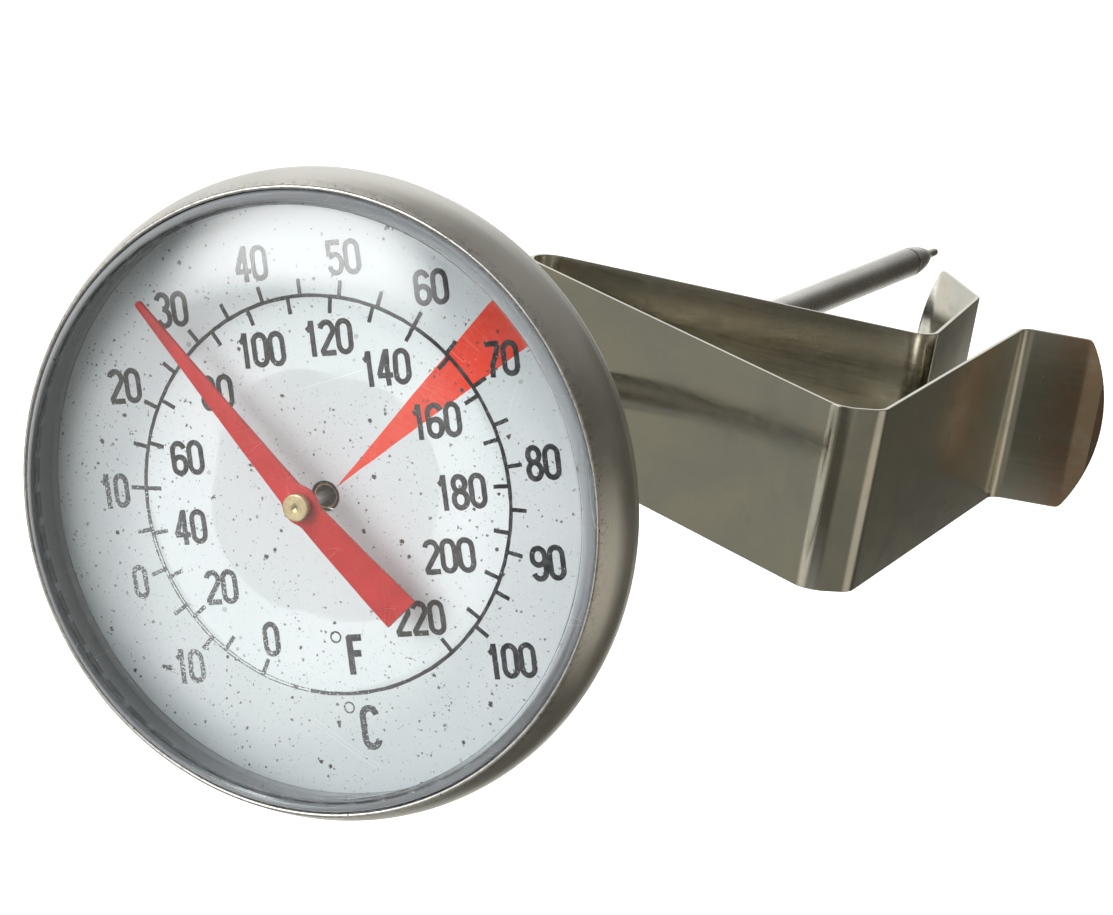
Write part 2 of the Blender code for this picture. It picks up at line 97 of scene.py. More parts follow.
# ---- materials --------------------------------------------------------------
class Finish:
    """A material on one Principled shader, with helpers that work in millimetres."""

    def __init__(self, name, colour, rough, metal=0.0, **constants):
        self.mat = bpy.data.materials.new(name)
        self.mat.use_nodes = True
        self.tree = self.mat.node_tree
        self.shader = self.tree.nodes["Principled BSDF"]
        self.set("Base Color", (*colour, 1.0))
        self.set("Roughness", rough)
        self.set("Metallic", metal)
        for key, value in constants.items():
            self.set(key.replace("_", " "), value)
        coord = self.add("ShaderNodeTexCoord")
        self.mm = self.vector("SCALE", coord.outputs["Object"], scale=1000.0)

    def set(self, socket, value):
        self.shader.inputs[socket].default_value = value

    def add(self, kind, **settings):
        node = self.tree.nodes.new(kind)
        for key, value in settings.items():
            setattr(node, key, value)
        return node

    def feed(self, socket, value):
        """Join an output to an input, or set the input's own value."""
        if isinstance(value, bpy.types.NodeSocket):
            self.tree.links.new(value, socket)
        else:
            socket.default_value = value

    def drive(self, name, value):
        self.tree.links.new(value, self.shader.inputs[name])

    def vector(self, operation, a, b=None, scale=None):
        node = self.add("ShaderNodeVectorMath", operation=operation)
        self.feed(node.inputs[0], a)
        if b is not None:
            self.feed(node.inputs[1], b)
        if scale is not None:
            self.feed(node.inputs["Scale"], scale)
        return node.outputs["Value" if operation in ("LENGTH", "DOT_PRODUCT") else "Vector"]

    def stretch(self, x, y, z):
        return self.vector("MULTIPLY", self.mm, (x, y, z))

    def math(self, operation, a, b=0.0, clamp=False):
        node = self.add("ShaderNodeMath", operation=operation, use_clamp=clamp)
        self.feed(node.inputs[0], a)
        self.feed(node.inputs[1], b)
        return node.outputs[0]

    def noise(self, scale, detail=2.0, rough=0.5, vec=None, warp=0.0):
        node = self.add("ShaderNodeTexNoise")
        self.feed(node.inputs["Vector"], self.mm if vec is None else vec)
        self.feed(node.inputs["Scale"], scale)
        self.feed(node.inputs["Detail"], detail)
        self.feed(node.inputs["Roughness"], rough)
        self.feed(node.inputs["Distortion"], warp)
        return node.outputs[0]

    def cells(self, scale, feature="F1", vec=None):
        node = self.add("ShaderNodeTexVoronoi", feature=feature)
        self.feed(node.inputs["Vector"], self.mm if vec is None else vec)
        self.feed(node.inputs["Scale"], scale)
        return node

    def ramp(self, value, low, high, out_low=0.0, out_high=1.0, smooth=True):
        node = self.add("ShaderNodeMapRange")
        node.interpolation_type = "SMOOTHSTEP" if smooth else "LINEAR"
        self.feed(node.inputs["Value"], value)
        ends = {"From Min": low, "From Max": high, "To Min": out_low, "To Max": out_high}
        for key, number in ends.items():
            self.feed(node.inputs[key], number)
        return node.outputs["Result"]

    def mix(self, share, a, b):
        node = self.add("ShaderNodeMix", data_type="RGBA")
        self.feed(node.inputs[0], share)
        self.feed(node.inputs[6], a if isinstance(a, bpy.types.NodeSocket) else (*a, 1.0))
        self.feed(node.inputs[7], b if isinstance(b, bpy.types.NodeSocket) else (*b, 1.0))
        return node.outputs[2]

    def bump(self, height, strength, distance, after=None):
        node = self.add("ShaderNodeBump")
        self.feed(node.inputs["Strength"], strength)
        self.feed(node.inputs["Distance"], distance)
        self.feed(node.inputs["Height"], height)
        if after is not None:
            self.feed(node.inputs["Normal"], after)
        self.drive("Normal", node.outputs["Normal"])
        return node.outputs["Normal"]

    def split(self):
        node = self.add("ShaderNodeSeparateXYZ")
        self.feed(node.inputs[0], self.mm)
        return node.outputs

    def radius(self):
        """Distance from the stem axis, mm."""
        return self.vector("LENGTH", self.stretch(1.0, 1.0, 0.0))

    def round_axis(self, around, along):
        """Coordinates that stretch a pattern round the stem axis, without a seam."""
        flat = self.stretch(1.0, 1.0, 0.0)
        unit = self.vector("SCALE", self.vector("NORMALIZE", flat), scale=around)
        parts = self.split()
        rise = self.math("ADD", self.radius(), parts[2])
        node = self.add("ShaderNodeCombineXYZ")
        self.feed(node.inputs[2], self.math("MULTIPLY", rise, along))
        return self.vector("ADD", unit, node.outputs[0])

    def specks(self, scale, share, size, seed=0.0, flat=True):
        """Sparse irregular flecks: 1 on a fleck, 0 elsewhere."""
        base = self.stretch(1.0, 1.0, 0.0) if flat else self.mm
        wobble = self.add("ShaderNodeTexNoise")
        self.feed(wobble.inputs["Vector"], base)
        self.feed(wobble.inputs["Scale"], 5.0)
        self.feed(wobble.inputs["Detail"], 2.0)
        shift = self.vector("SUBTRACT", wobble.outputs["Color"], (0.5, 0.5, 0.5))
        shift = self.vector("SCALE", shift, scale=0.42)
        place_of = (seed, seed * 0.7, 0.0 if flat else seed)
        moved = self.vector("ADD", self.vector("ADD", base, shift), place_of)
        node = self.cells(scale, vec=moved)
        parts = self.add("ShaderNodeSeparateColor")
        self.feed(parts.inputs[0], node.outputs["Color"])
        kept = self.math("LESS_THAN", parts.outputs[0], share)
        reach = self.math("MULTIPLY", parts.outputs[1], parts.outputs[1])
        reach = self.math("ADD", self.math("MULTIPLY", reach, 0.8), 0.2)
        reach = self.math("MULTIPLY", reach, size * scale)
        out = self.math("DIVIDE", node.outputs["Distance"], reach)
        inside = self.ramp(out, 0.75, 1.05, 1.0, 0.0)
        return self.math("MULTIPLY", inside, kept)

    def scratches(self, angle, scale, thin, share, seed=0.0):
        """Sparse straight hairlines lying at one angle in the plane of the dial."""
        turn = self.add("ShaderNodeVectorRotate", rotation_type="Z_AXIS")
        self.feed(turn.inputs["Vector"], self.stretch(1.0, 1.0, 0.0))
        self.feed(turn.inputs["Angle"], math.radians(angle))
        moved = self.vector("ADD", turn.outputs[0], (seed, seed, 0.0))
        long = self.vector("MULTIPLY", moved, (0.09 * scale, scale, 1.0))
        node = self.cells(1.0, vec=long)
        edge = self.cells(1.0, "DISTANCE_TO_EDGE", vec=long)
        parts = self.add("ShaderNodeSeparateColor")
        self.feed(parts.inputs[0], node.outputs["Color"])
        kept = self.math("LESS_THAN", parts.outputs[2], share)
        return self.math("MULTIPLY", self.ramp(edge.outputs["Distance"], 0.0, thin, 1.0, 0.0), kept)


def satin_case():
    f = Finish("satin_steel", (0.60, 0.59, 0.565), 0.34, 1.0)
    grain = f.noise(1.0, 3.0, 0.6, f.round_axis(60.0, 9.0))
    blotch = f.noise(0.09, 3.0, 0.6)
    fine = f.noise(14.0, 2.0, 0.6)
    tone = f.mix(f.ramp(blotch, 0.3, 0.7), (0.56, 0.55, 0.525), (0.66, 0.65, 0.625))
    # grime that gathers where the rolled edge meets the window
    height = f.split()[2]
    near_lip = f.ramp(height, -6.2, -4.3)
    lip_side = f.ramp(f.radius(), 34.35, 33.5)
    zone = f.math("MULTIPLY", near_lip, lip_side)
    grit = f.math("MAXIMUM", f.specks(2.6, 0.42, 0.13, 3.0, False),
                  f.specks(5.5, 0.35, 0.07, 11.0, False))
    grime = f.math("MULTIPLY", grit, zone)
    haze = f.math("MULTIPLY", f.ramp(f.noise(1.6, 4.0, 0.7), 0.42, 0.72),
                  f.math("MULTIPLY", zone, 0.45))
    tone = f.mix(haze, tone, (0.20, 0.165, 0.11))
    tone = f.mix(grime, tone, (0.045, 0.035, 0.025))
    chips = f.specks(1.1, 0.05, 0.09, 23.0, False)
    tone = f.mix(f.math("MULTIPLY", chips, 0.55), tone, (0.16, 0.14, 0.11))
    f.drive("Base Color", tone)
    f.drive("Metallic", f.ramp(grime, 0.0, 1.0, 1.0, 0.1, False))
    worn = f.math("ADD", f.ramp(grain, 0.25, 0.75, 0.30, 0.40, False),
                  f.ramp(blotch, 0.35, 0.7, -0.03, 0.05))
    f.drive("Roughness", f.math("ADD", worn, f.math("MULTIPLY", grime, 0.4)))
    first = f.bump(grain, 0.06, 0.00003)
    f.bump(fine, 0.05, 0.00002, first)
    return f.mat


def spring_steel():
    f = Finish("spring_steel", (0.50, 0.49, 0.45), 0.15, 1.0)
    rolled = f.noise(1.0, 3.0, 0.55, f.stretch(0.10, 2.6, 0.10))
    patch = f.noise(0.07, 3.0, 0.55, warp=0.6)
    smear = f.noise(0.35, 4.0, 0.65)
    tone = f.mix(f.ramp(patch, 0.32, 0.68), (0.49, 0.485, 0.44), (0.58, 0.545, 0.465))
    # heat tint and wear towards the free end of the tab
    x, _, z = f.split()[0:3]
    tab = f.math("MULTIPLY", f.ramp(x, 38.5, 45.0), f.ramp(z, -119.0, -122.0))
    tint = f.math("MULTIPLY", tab, f.ramp(smear, 0.3, 0.6, 0.5, 1.0))
    tone = f.mix(tint, tone, (0.50, 0.36, 0.25))
    tone = f.mix(f.math("MULTIPLY", f.ramp(smear, 0.5, 0.75), 0.35), tone, (0.41, 0.40, 0.35))
    dots = f.specks(0.9, 0.10, 0.10, 5.0, False)
    tone = f.mix(f.math("MULTIPLY", dots, 0.5), tone, (0.80, 0.79, 0.74))
    f.drive("Base Color", tone)
    base = f.math("ADD", f.ramp(rolled, 0.3, 0.7, 0.12, 0.19, False),
                  f.ramp(smear, 0.4, 0.8, 0.0, 0.09))
    f.drive("Roughness", f.math("ADD", base, f.math("MULTIPLY", dots, 0.3)))
    wave = f.noise(0.05, 1.0, 0.4)
    first = f.bump(wave, 0.12, 0.0006)
    f.bump(rolled, 0.05, 0.00003, first)
    return f.mat


def stem_steel(name="stem_steel", low=0.2, high=0.34):
    f = Finish(name, (0.52, 0.52, 0.51), low, 1.0)
    grain = f.noise(1.0, 3.0, 0.6, f.round_axis(14.0, 7.0))
    stain = f.noise(0.16, 4.0, 0.6)
    tone = f.mix(f.ramp(stain, 0.35, 0.7), (0.50, 0.495, 0.48), (0.60, 0.595, 0.575))
    marks = f.specks(1.3, 0.12, 0.08, 2.0, False)
    f.drive("Base Color", f.mix(f.math("MULTIPLY", marks, 0.5), tone, (0.26, 0.24, 0.20)))
    f.drive("Roughness", f.ramp(grain, 0.25, 0.75, low, high, False))
    f.bump(grain, 0.08, 0.00003)
    return f.mat


def turned_brass(name, rings=9.0, tone_a=(0.66, 0.53, 0.28), tone_b=(0.78, 0.66, 0.42)):
    f = Finish(name, tone_a, 0.3, 1.0)
    cuts = f.noise(1.0, 3.0, 0.7, f.round_axis(0.6, rings))
    stain = f.noise(1.1, 4.0, 0.6, warp=0.8)
    tone = f.mix(f.ramp(stain, 0.3, 0.7), tone_a, tone_b)
    pits = f.specks(3.0, 0.3, 0.09, 4.0)
    f.drive("Base Color", f.mix(f.math("MULTIPLY", pits, 0.6), tone, (0.30, 0.22, 0.12)))
    f.drive("Roughness", f.ramp(cuts, 0.3, 0.7, 0.24, 0.42, False))
    f.bump(cuts, 0.35, 0.00005)
    return f.mat


def clear_window():
    """Clear plastic with a few scratches; light for the dial passes straight through."""
    f = Finish("clear_plastic", (0.985, 0.99, 0.99), 0.0, 0.0, IOR=1.49, Transmission_Weight=1.0)
    lines = f.math("MAXIMUM", f.scratches(20.0, 0.30, 0.002, 0.22),
                   f.scratches(-52.0, 0.22, 0.0018, 0.18, 17.0))
    lines = f.math("MAXIMUM", lines, f.scratches(78.0, 0.16, 0.0018, 0.2, 41.0))
    dust = f.specks(0.7, 0.10, 0.06, 9.0)
    # rougher round the shoulder and skirt, and greyer and less clear there: painted shade for the
    # dark band at the window's edge
    skirt_shade = f.ramp(f.radius(), 31.7, 32.4)
    smooth = f.ramp(f.math("MAXIMUM", lines, dust), 0.0, 1.0, 0.012, 0.30, False)
    f.drive("Roughness", f.math("ADD", smooth, f.math("MULTIPLY", skirt_shade, 0.22)))
    f.drive("Transmission Weight", f.ramp(skirt_shade, 0.0, 1.0, 1.0, 0.50, False))
    f.drive("Base Color", f.mix(skirt_shade, (0.985, 0.99, 0.99), (0.52, 0.55, 0.59)))
    f.bump(f.noise(0.16, 2.0, 0.5), 0.05, 0.0002)
    tree = f.tree
    out = tree.nodes["Material Output"]
    path = f.add("ShaderNodeLightPath")
    clear = f.add("ShaderNodeBsdfTransparent")
    # the rolled shoulder throws most light aside, so the dial is dimmer below it; the clear
    # area is set a little off centre and turns with the head
    off_centre = f.vector("SUBTRACT", f.stretch(1.0, 1.0, 0.0), (1.0, -2.4, 0.0))
    shoulder = f.ramp(f.vector("LENGTH", off_centre), 25.0, 30.0)
    f.feed(clear.inputs[0], f.mix(shoulder, (0.96, 0.97, 0.97), (0.42, 0.44, 0.455)))
    both = f.add("ShaderNodeMixShader")
    tree.links.new(path.outputs["Is Shadow Ray"], both.inputs[0])
    tree.links.new(f.shader.outputs[0], both.inputs[1])
    tree.links.new(clear.outputs[0], both.inputs[2])
    tree.links.new(both.outputs[0], out.inputs["Surface"])
    return f.mat


def dial_paint(f):
    """White enamel with age specks; returns its colour."""
    cloud = f.noise(0.05, 3.0, 0.5)
    white = f.mix(f.ramp(cloud, 0.35, 0.65), (0.735, 0.800, 0.820), (0.775, 0.815, 0.845))
    warm = f.ramp(f.noise(0.35, 3.0, 0.6, warp=0.5), 0.62, 0.85, 0.0, 0.10)
    return f.mix(warm, white, (0.62, 0.56, 0.47))


def grime_specks(f):
    """Flecks of dirt and shed ink over the whole dial."""
    crowd = f.ramp(f.noise(0.10, 2.0, 0.5), 0.33, 0.60, 0.12, 1.0)
    coarse = f.specks(0.85, 0.42, 0.32, 0.0)
    small = f.specks(1.9, 0.50, 0.18, 31.0)
    dust = f.specks(3.6, 0.50, 0.09, 57.0)
    all_of = f.math("MAXIMUM", coarse, f.math("MULTIPLY", small, 0.85))
    all_of = f.math("MAXIMUM", all_of, f.math("MULTIPLY", dust, 0.6))
    return f.math("MULTIPLY", all_of, f.ramp(crowd, 0.1, 0.6, 0.30, 1.0))


def dial_white():
    f = Finish("dial_white", (0.75, 0.80, 0.83), 0.42, 0.0, Specular_IOR_Level=0.35)
    white = dial_paint(f)
    dirt = grime_specks(f)
    f.drive("Base Color", f.mix(dirt, white, (0.075, 0.072, 0.070)))
    f.drive("Roughness", f.ramp(f.noise(1.5, 3.0, 0.6), 0.3, 0.7, 0.36, 0.5, False))
    f.bump(f.noise(2.5, 3.0, 0.6), 0.06, 0.00003)
    return f.mat


def print_ink(name, colour, limit=0.70, fading=0.12, ageing=0.0, speckle=True):
    """Screen ink: thin, matt, chipped through to the enamel, most of all at lower left."""
    f = Finish(name, colour, 0.5, 0.0, Specular_IOR_Level=0.3)
    white = dial_paint(f)
    side = f.vector("DOT_PRODUCT", f.stretch(1.0, 1.0, 0.0), (-0.50, -0.86, 0.0))
    age = f.ramp(side, 7.0, 22.0, 0.0, ageing)
    chip = f.noise(4.6, 3.0, 0.65)
    edge = f.math("SUBTRACT", limit, f.math("MULTIPLY", age, 0.12))
    gone = f.ramp(f.math("SUBTRACT", chip, edge), -0.02, 0.02)
    fade = f.ramp(f.noise(1.2, 2.0, 0.5), 0.35, 0.7, 0.0, fading)
    ink = f.mix(f.math("ADD", fade, f.math("MULTIPLY", age, 0.12)), colour, white)
    tone = f.mix(gone, ink, white)
    if speckle:
        tone = f.mix(f.math("MULTIPLY", grime_specks(f), 0.9), tone, (0.05, 0.045, 0.045))
    f.drive("Base Color", tone)
    f.drive("Roughness", f.ramp(chip, 0.3, 0.7, 0.42, 0.6, False))
    f.bump(chip, 0.1, 0.00002)
    return f, tone


def wedge_red():
    f, tone = print_ink("zone_red", (0.80, 0.055, 0.026), 0.80, 0.03)
    hair = f.math("MAXIMUM", f.scratches(12.0, 0.9, 0.012, 0.16, 5.0),
                  f.scratches(35.0, 1.1, 0.012, 0.10, 27.0))
    f.drive("Base Color", f.mix(f.math("MULTIPLY", hair, 0.5), tone, (0.90, 0.55, 0.48)))
    return f.mat


def pointer_red():
    f = Finish("pointer_red", (0.60, 0.020, 0.022), 0.36, 0.0, Specular_IOR_Level=0.25)
    cloud = f.noise(0.25, 3.0, 0.6)
    tone = f.mix(f.ramp(cloud, 0.3, 0.7), (0.52, 0.012, 0.014), (0.62, 0.022, 0.022))
    hair = f.math("MAXIMUM", f.scratches(-30.0, 0.9, 0.013, 0.14, 8.0),
                  f.scratches(60.0, 0.8, 0.010, 0.12, 19.0))
    tone = f.mix(f.math("MULTIPLY", hair, 0.45), tone, (0.86, 0.42, 0.40))
    nicks = f.specks(1.6, 0.10, 0.10, 13.0)
    tone = f.mix(f.math("MULTIPLY", nicks, 0.8), tone, (0.92, 0.78, 0.75))
    dark = f.specks(1.2, 0.05, 0.12, 29.0)
    f.drive("Base Color", f.mix(f.math("MULTIPLY", dark, 0.5), tone, (0.20, 0.03, 0.02)))
    f.drive("Roughness", f.ramp(f.noise(2.0, 3.0, 0.6), 0.3, 0.7, 0.3, 0.46, False))
    f.bump(f.noise(1.2, 3.0, 0.5), 0.10, 0.00006)
    return f.mat


def plain(name, a, b, rough, metal, scale, bump):
    """Small hidden pieces: two tones of one noise, with matching roughness."""
    f = Finish(name, a, rough, metal)
    grain = f.noise(scale, 4.0, 0.6)
    f.drive("Base Color", f.mix(f.ramp(grain, 0.3, 0.7), a, b))
    f.drive("Roughness", f.ramp(grain, 0.3, 0.7, rough - 0.06, rough + 0.08, False))
    f.bump(grain, bump, 0.00005)
    return f.mat


# ---- mesh helpers -----------------------------------------------------------
def settle(mesh, smooth_angle):
    bm = bmesh.new()
    bm.from_mesh(mesh)
    bmesh.ops.recalc_face_normals(bm, faces=bm.faces)
    bm.to_mesh(mesh)
    bm.free()
    mesh.shade_smooth()
    mesh.set_sharp_from_angle(angle=math.radians(smooth_angle))


def mesh_of(name, verts, faces, smooth_angle=35.0):
    """Mesh from vertices in mm, heights already in the world frame."""
    mesh = bpy.data.meshes.new(name)
    mesh.from_pydata([(x * MM, y * MM, z * MM) for x, y, z in verts], [], faces)
    settle(mesh, smooth_angle)
    return mesh


def place(name, mesh, mat, body, nodes=()):
    obj = bpy.data.objects.new(name, mesh)
    bpy.context.scene.collection.objects.link(obj)
    if not mesh.materials:
        mesh.materials.append(mat)
    if body:
        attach(obj, body)
    if nodes:
        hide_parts(*nodes)
    return obj


def turned(name, outline, mat, body, nodes, facets=96, smooth_angle=32.0, wobble=None):
    """Body of revolution from a closed outline of (radius, height above the dial)."""
    verts, loops, faces = [], [], []
    for radius, height in outline:
        if radius < 1e-6:
            verts.append((0.0, 0.0, height - FACE))
            loops.append([len(verts) - 1])
            continue
        loop = []
        for i in range(facets):
            a = 2 * math.pi * i / facets
            lift = wobble(a, radius, height) if wobble else 0.0
            verts.append((radius * math.cos(a), radius * math.sin(a), height + lift - FACE))
            loop.append(len(verts) - 1)
        loops.append(loop)
    for k, low in enumerate(loops):
        high = loops[(k + 1) % len(loops)]
        if len(low) == 1 and len(high) == 1:
            continue
        for i in range(facets):
            j = (i + 1) % facets
            if len(low) == 1:
                faces.append((low[0], high[i], high[j]))
            elif len(high) == 1:
                faces.append((low[i], low[j], high[0]))
            else:
                faces.append((low[i], low[j], high[j], high[i]))
    return place(name, mesh_of(name, verts, faces, smooth_angle), mat, body, nodes)


def arc(centre, radius, start, stop, count):
    points = []
    for i in range(count + 1):
        a = math.radians(start + (stop - start) * i / count)
        points.append((centre[0] + radius * math.cos(a), centre[1] + radius * math.sin(a)))
    return points


def spline(points, per=5):
    """Catmull-Rom curve through the points."""
    pts = [np.array(p, float) for p in points]
    pts = [2 * pts[0] - pts[1]] + pts + [2 * pts[-1] - pts[-2]]
    out = []
    for k in range(1, len(pts) - 2):
        p0, p1, p2, p3 = pts[k - 1:k + 3]
        for i in range(per):
            t = i / per
            q = 2 * p1 + (p2 - p0) * t + (2 * p0 - 5 * p1 + 4 * p2 - p3) * t ** 2
            q = q + (3 * p1 - p0 - 3 * p2 + p3) * t ** 3
            out.append(tuple(q / 2))
    out.append(tuple(pts[-2]))
    return out


def eased(points, radius=0.1, steps=3):
    """Closed outline with every corner off the axis rounded a little."""
    out = []
    count = len(points)
    for k, corner in enumerate(points):
        p = np.array(corner, float)
        if p[0] < 1e-6:
            out.append(corner)
            continue
        a = np.array(points[k - 1], float) - p
        b = np.array(points[(k + 1) % count], float) - p
        la, lb = np.linalg.norm(a), np.linalg.norm(b)
        cut = min(radius, la * 0.4, lb * 0.4)
        start, stop = p + a / la * cut, p + b / lb * cut
        for i in range(steps + 1):
            t = i / steps
            out.append(tuple((1 - t) ** 2 * start + 2 * t * (1 - t) * p + t ** 2 * stop))
    return out


# ---- case, window and dial --------------------------------------------------
def make_case(mat):
    """Rolled cup: recess round the neck, rounded side, front edge turned in over the window."""
    outer = [(4.0, BACK + 0.3), (7.9, BACK + 0.3), (8.15, BACK + 0.26), (8.45, BACK + 0.06),
             (8.7, BACK)]
    outer += arc((FLAT_R, BACK + CORNER_R), CORNER_R, -90, -12, 24)
    outer += spline([(34.45, -2.1), (34.7, -0.9), (34.78, 0.3), (34.73, 1.5), (34.48, 2.8),
                     (34.08, 4.0), (33.75, 4.8), (33.54, 5.3)], 5)
    outer += arc((33.29, 5.31), 0.25, 20, 150, 6)
    inner = [(33.08, 5.2), (33.08, 4.85)]
    inner += spline([(33.22, 4.8), (33.42, 4.62), (33.52, 4.4), (33.72, 3.6), (33.92, 2.4),
                     (34.13, 1.2), (34.18, 0.2), (34.1, -0.9)], 4)
    inner += arc((FLAT_R, BACK + CORNER_R), CORNER_R - CASE_WALL, -10, -90, 20)
    inner += [(8.7, BACK + CASE_WALL), (8.3, BACK + 0.9), (4.0, BACK + 0.9)]

    def uneven(angle, radius, height):
        if height < 4.2:
            return 0.0
        ripple = 0.035 * math.sin(3 * angle + 0.6) + 0.02 * math.sin(11 * angle)
        ripple += 0.012 * math.sin(29 * angle + 1.0)
        return ripple * min((height - 4.2) / 1.2, 1.0)

    return turned("case", outer + inner, mat, "head", ["case_cup"], 288, 40.0,
                  uneven)


def make_window(mat):
    """Flat in the middle, rolled over to a skirt and a flange that sits on the dial."""
    centre = (20.0, FACE - WINDOW_DROP)
    outer = [(0.0, FACE), (10.0, FACE)]
    outer += arc(centre, WINDOW_DROP, 90, 64.5, 22)
    outer += spline([(31.95, 6.64), (32.35, 6.36), (32.72, 5.95), (32.92, 5.45)], 4)
    outer += [(32.98, 4.9), (32.98, 2.6), (33.6, 2.6), (33.6, 0.3)]
    inner = [(31.7, 0.3), (31.7, 3.7)]
    inner += spline([(31.66, 4.15), (31.5, 4.6), (31.15, 4.95)], 3)
    inner += arc(centre, WINDOW_DROP - WINDOW_WALL, 64.3, 90, 20)
    inner += [(10.0, FACE - WINDOW_WALL), (0.0, FACE - WINDOW_WALL)]
    return turned("window", outer + inner, mat, "head", ["lens"], 256, 30.0)


def make_dial(mat):
    hole = 1.65
    outline = eased([(hole, 0.0), (DIAL_R, 0.0), (DIAL_R, -DIAL_THICK), (hole, -DIAL_THICK)], 0.08, 2)
    return turned("dial", outline, mat, "head", ["dial_plate"], 192, 30.0)


# ---- dial print -------------------------------------------------------------
STROKE = 0.58
UNIT_STROKE = 0.72
GLYPH_WIDTH = 0.89        # narrows every figure
PITCH = 1.96              # from one figure to the next
NARROW = {"1": 0.86, "-": 0.74}
RING_R = 21.2             # ring of the scale
TICK_OUT, TICK_IN, TICK_WIDTH = 22.98, 19.41, 0.44


def ribbon(points, width, closed=False, rough=0.02):
    """Quads along a centre line in mm, with slightly uneven edges."""
    pts = [np.array(p, float) for p in points]
    count = len(pts)
    left, right = [], []
    for k, p in enumerate(pts):
        before = pts[(k - 1) % count] if closed or k > 0 else p
        after = pts[(k + 1) % count] if closed or k < count - 1 else p
        a, b = p - before, after - p
        a = a / (np.linalg.norm(a) or 1.0)
        b = b / (np.linalg.norm(b) or 1.0)
        tangent = a + b
        tangent = tangent / np.linalg.norm(tangent)
        normal = np.array((-tangent[1], tangent[0]))
        sharp = max(float(normal @ np.array((-b[1], b[0]))) if b.any() else 1.0, 0.5)
        reach = width / 2 / sharp if a.any() and b.any() else width / 2
        left.append(p + normal * (reach + rng.uniform(-rough, rough)))
        right.append(p - normal * (reach + rng.uniform(-rough, rough)))
    quads = []
    for k in range(count if closed else count - 1):
        j = (k + 1) % count
        quads.append([left[k], right[k], right[j], left[j]])
    return quads


def dense(points, step=0.3):
    """The same polyline with points no further apart than step."""
    out = [points[0]]
    for p, q in zip(points, points[1:]):
        n = max(1, int(math.ceil(math.dist(p, q) / step)))
        for i in range(1, n + 1):
            out.append((p[0] + (q[0] - p[0]) * i / n, p[1] + (q[1] - p[1]) * i / n))
    return out


def bowl(cx, cy, rx, ry, start, stop, count=12):
    points = []
    for i in range(count + 1):
        a = math.radians(start + (stop - start) * i / count)
        points.append((cx + rx * math.cos(a), cy + ry * math.sin(a)))
    return points


def glyph_strokes(char):
    """Centre lines of one condensed figure, 1.58 wide and 3.2 high, centred on 0, 0."""
    w, h = 0.79, 1.6
    end = h + STROKE / 2
    stadium = bowl(0, h - w, w, w, 180, 0) + bowl(0, w - h, w, w, 0, -180)
    table = {
        "0": [stadium + [stadium[0]]],
        "1": [[(0.12, end), (0.12, -end)],
              [(-0.55, 0.88), (-0.30, 1.02), (-0.05, 1.28), (0.10, end - 0.05)]],
        "2": [bowl(0, h - w, w, w, 165, -25, 14) + [(-w + 0.06, -h + 0.28), (-w + 0.05, -h)],
              [(-w - 0.17, -h), (w + 0.15, -h)]],
        "3": [bowl(0, h - 0.78, 0.74, 0.78, 165, -62, 12) + [(-0.02, 0.10)],
              [(-0.02, 0.10)] + bowl(0, w - h - 0.02, w, 0.86, 62, -165, 14)],
        "4": [[(0.34, end), (0.34, -end)], [(0.30, end - 0.15), (-w - 0.02, -0.78)],
              [(-w - 0.18, -0.78), (w + 0.22, -0.78)]],
        "5": [[(w, h), (-w + 0.06, h)], [(-w + 0.10, end), (-w + 0.02, 0.18)],
              [(-w + 0.02, 0.18)] + bowl(0, -0.60, w, 0.98, 128, -165, 16)],
        "6": [bowl(0, h - w, w, w, 15, 180, 10) + bowl(0, w - h, w, w, 180, 360, 12)
              + bowl(0, -0.55, w, 0.70, 0, 165, 10)],
        "7": [[(-w - 0.1, h), (w + 0.12, h)],
              [(w, h - 0.05), (w - 0.35, 0.5), (-0.12, -0.6), (-0.22, -end)]],
        "8": [bowl(0, h - 0.76, 0.70, 0.76, -90, 270, 22), bowl(0, w - h, w, 0.86, 90, 450, 24)],
        "9": [bowl(0, w - h, w, w, 195, 360, 10) + bowl(0, h - w, w, w, 0, 180, 12)
              + bowl(0, 0.55, w, 0.70, 180, 345, 10)],
        "-": [[(-0.42, -0.05), (0.42, -0.05)]],
        "F": [[(-0.62, 2.08), (-0.62, -2.08)], [(-0.83, 1.87), (1.0, 1.87)],
              [(-0.6, 0.18), (0.78, 0.18)]],
        "C": [bowl(0, 2.05 - 0.9, 0.9, 0.9, 12, 180, 12)
              + bowl(0, -2.05 + 0.9, 0.9, 0.9, 180, 348, 12)],
    }
    return table[char]


def flat_solid(name, quads, low, high, mat, body):
    """Thin closed solid over the union of many small polygons."""
    verts, faces = [], []
    for quad in quads:
        start = len(verts)
        verts += [Vector((float(x), float(y))) for x, y in quad]
        faces.append(list(range(start, start + len(quad))))
    points, _, cells, _, _, owners = geometry.delaunay_2d_cdt(verts, [], faces, 1, 1e-5)
    cells = [list(c) for c, own in zip(cells, owners) if own]
    bm = bmesh.new()
    bottom = [bm.verts.new((p.x, p.y, low)) for p in points]
    top = [bm.verts.new((p.x, p.y, high)) for p in points]
    edges = {}
    for cell in cells:
        bm.faces.new([top[i] for i in cell])
        bm.faces.new([bottom[i] for i in reversed(cell)])
        for a, b in zip(cell, cell[1:] + cell[:1]):
            edges[(a, b)] = edges.get((a, b), 0) + 1
    for (a, b) in edges:
        if (b, a) not in edges:
            bm.faces.new((top[b], top[a], bottom[a], bottom[b]))
    loose = [v for v in bm.verts if not v.link_faces]
    bmesh.ops.delete(bm, geom=loose, context="VERTS")
    for v in bm.verts:
        v.co = Vector((v.co.x * MM, v.co.y * MM, (v.co.z - FACE) * MM))
    mesh = bpy.data.meshes.new(name)
    bm.to_mesh(mesh)
    bm.free()
    settle(mesh, 30.0)
    return place(name, mesh, mat, body)


